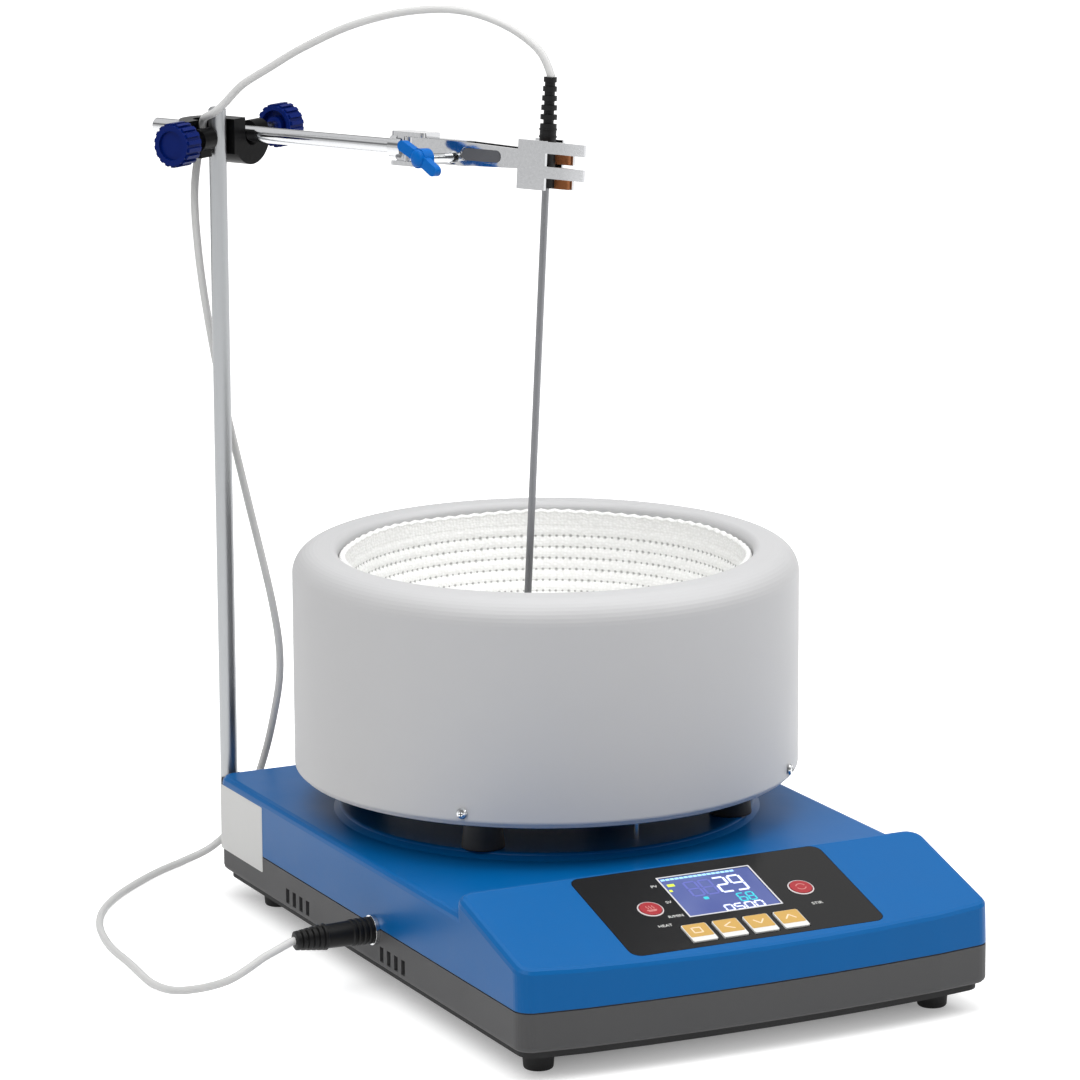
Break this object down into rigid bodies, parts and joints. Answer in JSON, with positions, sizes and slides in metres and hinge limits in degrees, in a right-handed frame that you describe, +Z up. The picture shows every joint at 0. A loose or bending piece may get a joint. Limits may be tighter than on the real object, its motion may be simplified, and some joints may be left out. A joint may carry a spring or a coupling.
{
  "type": "heating mantle magnetic stirrer",
  "caption": "Bench magnetic stirrer with a round heating mantle, slanted control panel, rear support rod and a clamped temperature probe on a cord.",
  "frame": {"origin": "on the bench, under the middle of the box round the object without its probe cord", "axes": "+Z up, -Y towards the control panel, +X to the user's right"},
  "size_m": [0.3877, 0.4849, 0.5201],
  "materials": {
    "cover_blue": "satin moulded",
    "pan_grey": "fine texture",
    "foot_rubber": "matte",
    "screw_steel": "satin",
    "panel_black": "matte film",
    "display": "glossy",
    "circuit_board": "satin",
    "key_yellow": "matte film",
    "button_red": "satin",
    "socket_chrome": "polished",
    "fitting_black": "matte",
    "pin_brass": "plated",
    "bracket_black": "powder coat",
    "shell_grey": "satin paint",
    "plate_black": "matte paint",
    "insulation": "fibrous",
    "lining_white": "knitted",
    "heater_wire": "braided",
    "motor_steel": "satin",
    "carrier_aluminium": "milled",
    "magnet": "plated",
    "transformer": "varnished",
    "rod_steel": "drawn",
    "boss_black": "black paint",
    "knob_blue": "satin",
    "clamp_chrome": "plated",
    "cork": "cork",
    "wing_blue": "anodised",
    "probe_steel": "drawn",
    "boot_black": "satin",
    "cord_grey": "satin"
  },
  "bodies": {
    "base": {"top_cover": "cover_blue", "bottom_pan": "pan_grey", "rubber_feet": "foot_rubber", "foot_screws": "screw_steel", "control_panel": "panel_black", "lcd_module": "display", "control_board": "circuit_board", "probe_socket": "socket_chrome", "mains_inlet": "fitting_black", "inlet_pins": "pin_brass", "switch_frame": "fitting_black", "rod_bracket": "bracket_black", "bracket_screws": "screw_steel", "rod_set_screw": "screw_steel", "mantle_shell": "shell_grey", "mantle_plate": "plate_black", "mantle_insulation": "insulation", "mantle_lining": "lining_white", "heater_wire": "heater_wire", "mantle_feet": "plate_black", "mantle_screws": "screw_steel", "earth_pin": "socket_chrome", "stir_motor": "motor_steel", "motor_plate": "motor_steel", "power_board": "circuit_board", "transformer": "transformer", "probe_plug": "boot_black", "probe_cable": "cord_grey"},
    "stir_rotor": {"motor_shaft": "screw_steel", "magnet_carrier": "carrier_aluminium", "drive_magnets": "magnet"},
    "mains_rocker": {"mains_rocker": "button_red"},
    "key_set": {"key_set": "key_yellow"},
    "key_left": {"key_left": "key_yellow"},
    "key_down": {"key_down": "key_yellow"},
    "key_up": {"key_up": "key_yellow"},
    "heat_button": {"heat_button": "button_red"},
    "stir_button": {"stir_button": "button_red"},
    "support_rod": {"support_rod": "rod_steel"},
    "boss_head": {"boss_head": "boss_black"},
    "rod_knob": {"rod_screw": "screw_steel", "rod_knob": "knob_blue"},
    "arm_knob": {"arm_screw": "screw_steel", "arm_knob": "knob_blue"},
    "clamp_arm": {"clamp_arm": "clamp_chrome"},
    "clamp_yoke": {"clamp_yoke": "clamp_chrome", "jaw_pins": "screw_steel", "wing_stud": "screw_steel"},
    "near_jaw": {"near_jaw": "clamp_chrome", "near_cork": "cork"},
    "far_jaw": {"far_jaw": "clamp_chrome", "far_cork": "cork"},
    "near_wing_nut": {"near_wing_nut": "wing_blue"},
    "far_wing_nut": {"far_wing_nut": "wing_blue"},
    "probe": {"probe_sheath": "probe_steel", "probe_boot": "boot_black"}
  },
  "joints": [
    {"name": "stir_spin", "type": "hinge", "parent": "base", "child": "stir_rotor", "pos_m": [0.01449, 0.01927, 0.055], "axis": [0, 0, 1], "continuous": true},
    {"name": "mains_rock", "type": "hinge", "parent": "base", "child": "mains_rocker", "pos_m": [0.03449, 0.16127, 0.05525], "axis": [1, 0, 0], "range_deg": [0, 16]},
    {"name": "key_set_press", "type": "slide", "parent": "base", "child": "key_set", "axis": [0, 0.2719, -0.9623], "range_m": [0, 0.0005], "stiffness_N_per_m": 600},
    {"name": "key_left_press", "type": "slide", "parent": "base", "child": "key_left", "axis": [0, 0.2719, -0.9623], "range_m": [0, 0.0005], "stiffness_N_per_m": 600},
    {"name": "key_down_press", "type": "slide", "parent": "base", "child": "key_down", "axis": [0, 0.2719, -0.9623], "range_m": [0, 0.0005], "stiffness_N_per_m": 600},
    {"name": "key_up_press", "type": "slide", "parent": "base", "child": "key_up", "axis": [0, 0.2719, -0.9623], "range_m": [0, 0.0005], "stiffness_N_per_m": 600},
    {"name": "heat_button_press", "type": "slide", "parent": "base", "child": "heat_button", "axis": [0, 0.2719, -0.9623], "range_m": [0, 0.0005], "stiffness_N_per_m": 600},
    {"name": "stir_button_press", "type": "slide", "parent": "base", "child": "stir_button", "axis": [0, 0.2719, -0.9623], "range_m": [0, 0.0005], "stiffness_N_per_m": 600},
    {"name": "rod_swivel", "type": "hinge", "parent": "base", "child": "support_rod", "pos_m": [-0.1125, 0.17827, 0.06], "axis": [0, 0, 1], "range_deg": [-5, 15]},
    {"name": "boss_height", "type": "slide", "parent": "support_rod", "child": "boss_head", "axis": [0, 0, 1], "range_m": [-0.025, 0.008], "deforming": ["probe_cable"]},
    {"name": "rod_knob_turn", "type": "hinge", "parent": "boss_head", "child": "rod_knob", "pos_m": [-0.14368, 0.16027, 0.439], "axis": [0.866, 0.5, 0], "range_deg": [0, 360]},
    {"name": "arm_knob_turn", "type": "hinge", "parent": "boss_head", "child": "arm_knob", "pos_m": [-0.05708, 0.21027, 0.439], "axis": [0.866, 0.5, 0], "range_deg": [0, 360]},
    {"name": "arm_reach", "type": "slide", "parent": "boss_head", "child": "clamp_arm", "axis": [0.5, -0.866, 0], "range_m": [-0.025, 0.025]},
    {"name": "clamp_roll", "type": "hinge", "parent": "clamp_arm", "child": "clamp_yoke", "pos_m": [-0.03575, 0.08633, 0.439], "axis": [0.5, -0.866, 0], "range_deg": [-3, 10]},
    {"name": "near_wing_turn", "type": "hinge", "parent": "clamp_yoke", "child": "near_wing_nut", "pos_m": [-0.04628, 0.04527, 0.43908], "axis": [0.9364, 0.3401, -0.0858], "range_deg": [0, 345]},
    {"name": "far_wing_turn", "type": "hinge", "parent": "clamp_yoke", "child": "far_wing_nut", "pos_m": [-0.00751, 0.06445, 0.43531], "axis": [-0.7628, -0.6409, 0.0858], "range_deg": [0, 345]},
    {"name": "near_jaw_open", "type": "hinge", "parent": "clamp_yoke", "child": "near_jaw", "pos_m": [-0.03889, 0.0799, 0.43952], "axis": [-0.0755, -0.0436, -0.9962], "range_deg": [-0.2, 4.2]},
    {"name": "far_jaw_open", "type": "hinge", "parent": "clamp_yoke", "child": "far_jaw", "pos_m": [-0.02862, 0.08583, 0.43848], "axis": [0.0755, 0.0436, 0.9962], "range_deg": [-0.2, 4.2]},
    {"name": "probe_lift", "type": "slide", "parent": "clamp_yoke", "child": "probe", "axis": [0.0755, 0.0436, 0.9962], "range_m": [0, 0.04]}
  ],
  "couplings": [
    {"joint": "near_jaw_open", "follows": "near_wing_turn", "ratio": 0.011594},
    {"joint": "far_jaw_open", "follows": "far_wing_turn", "ratio": 0.011594}
  ]
}
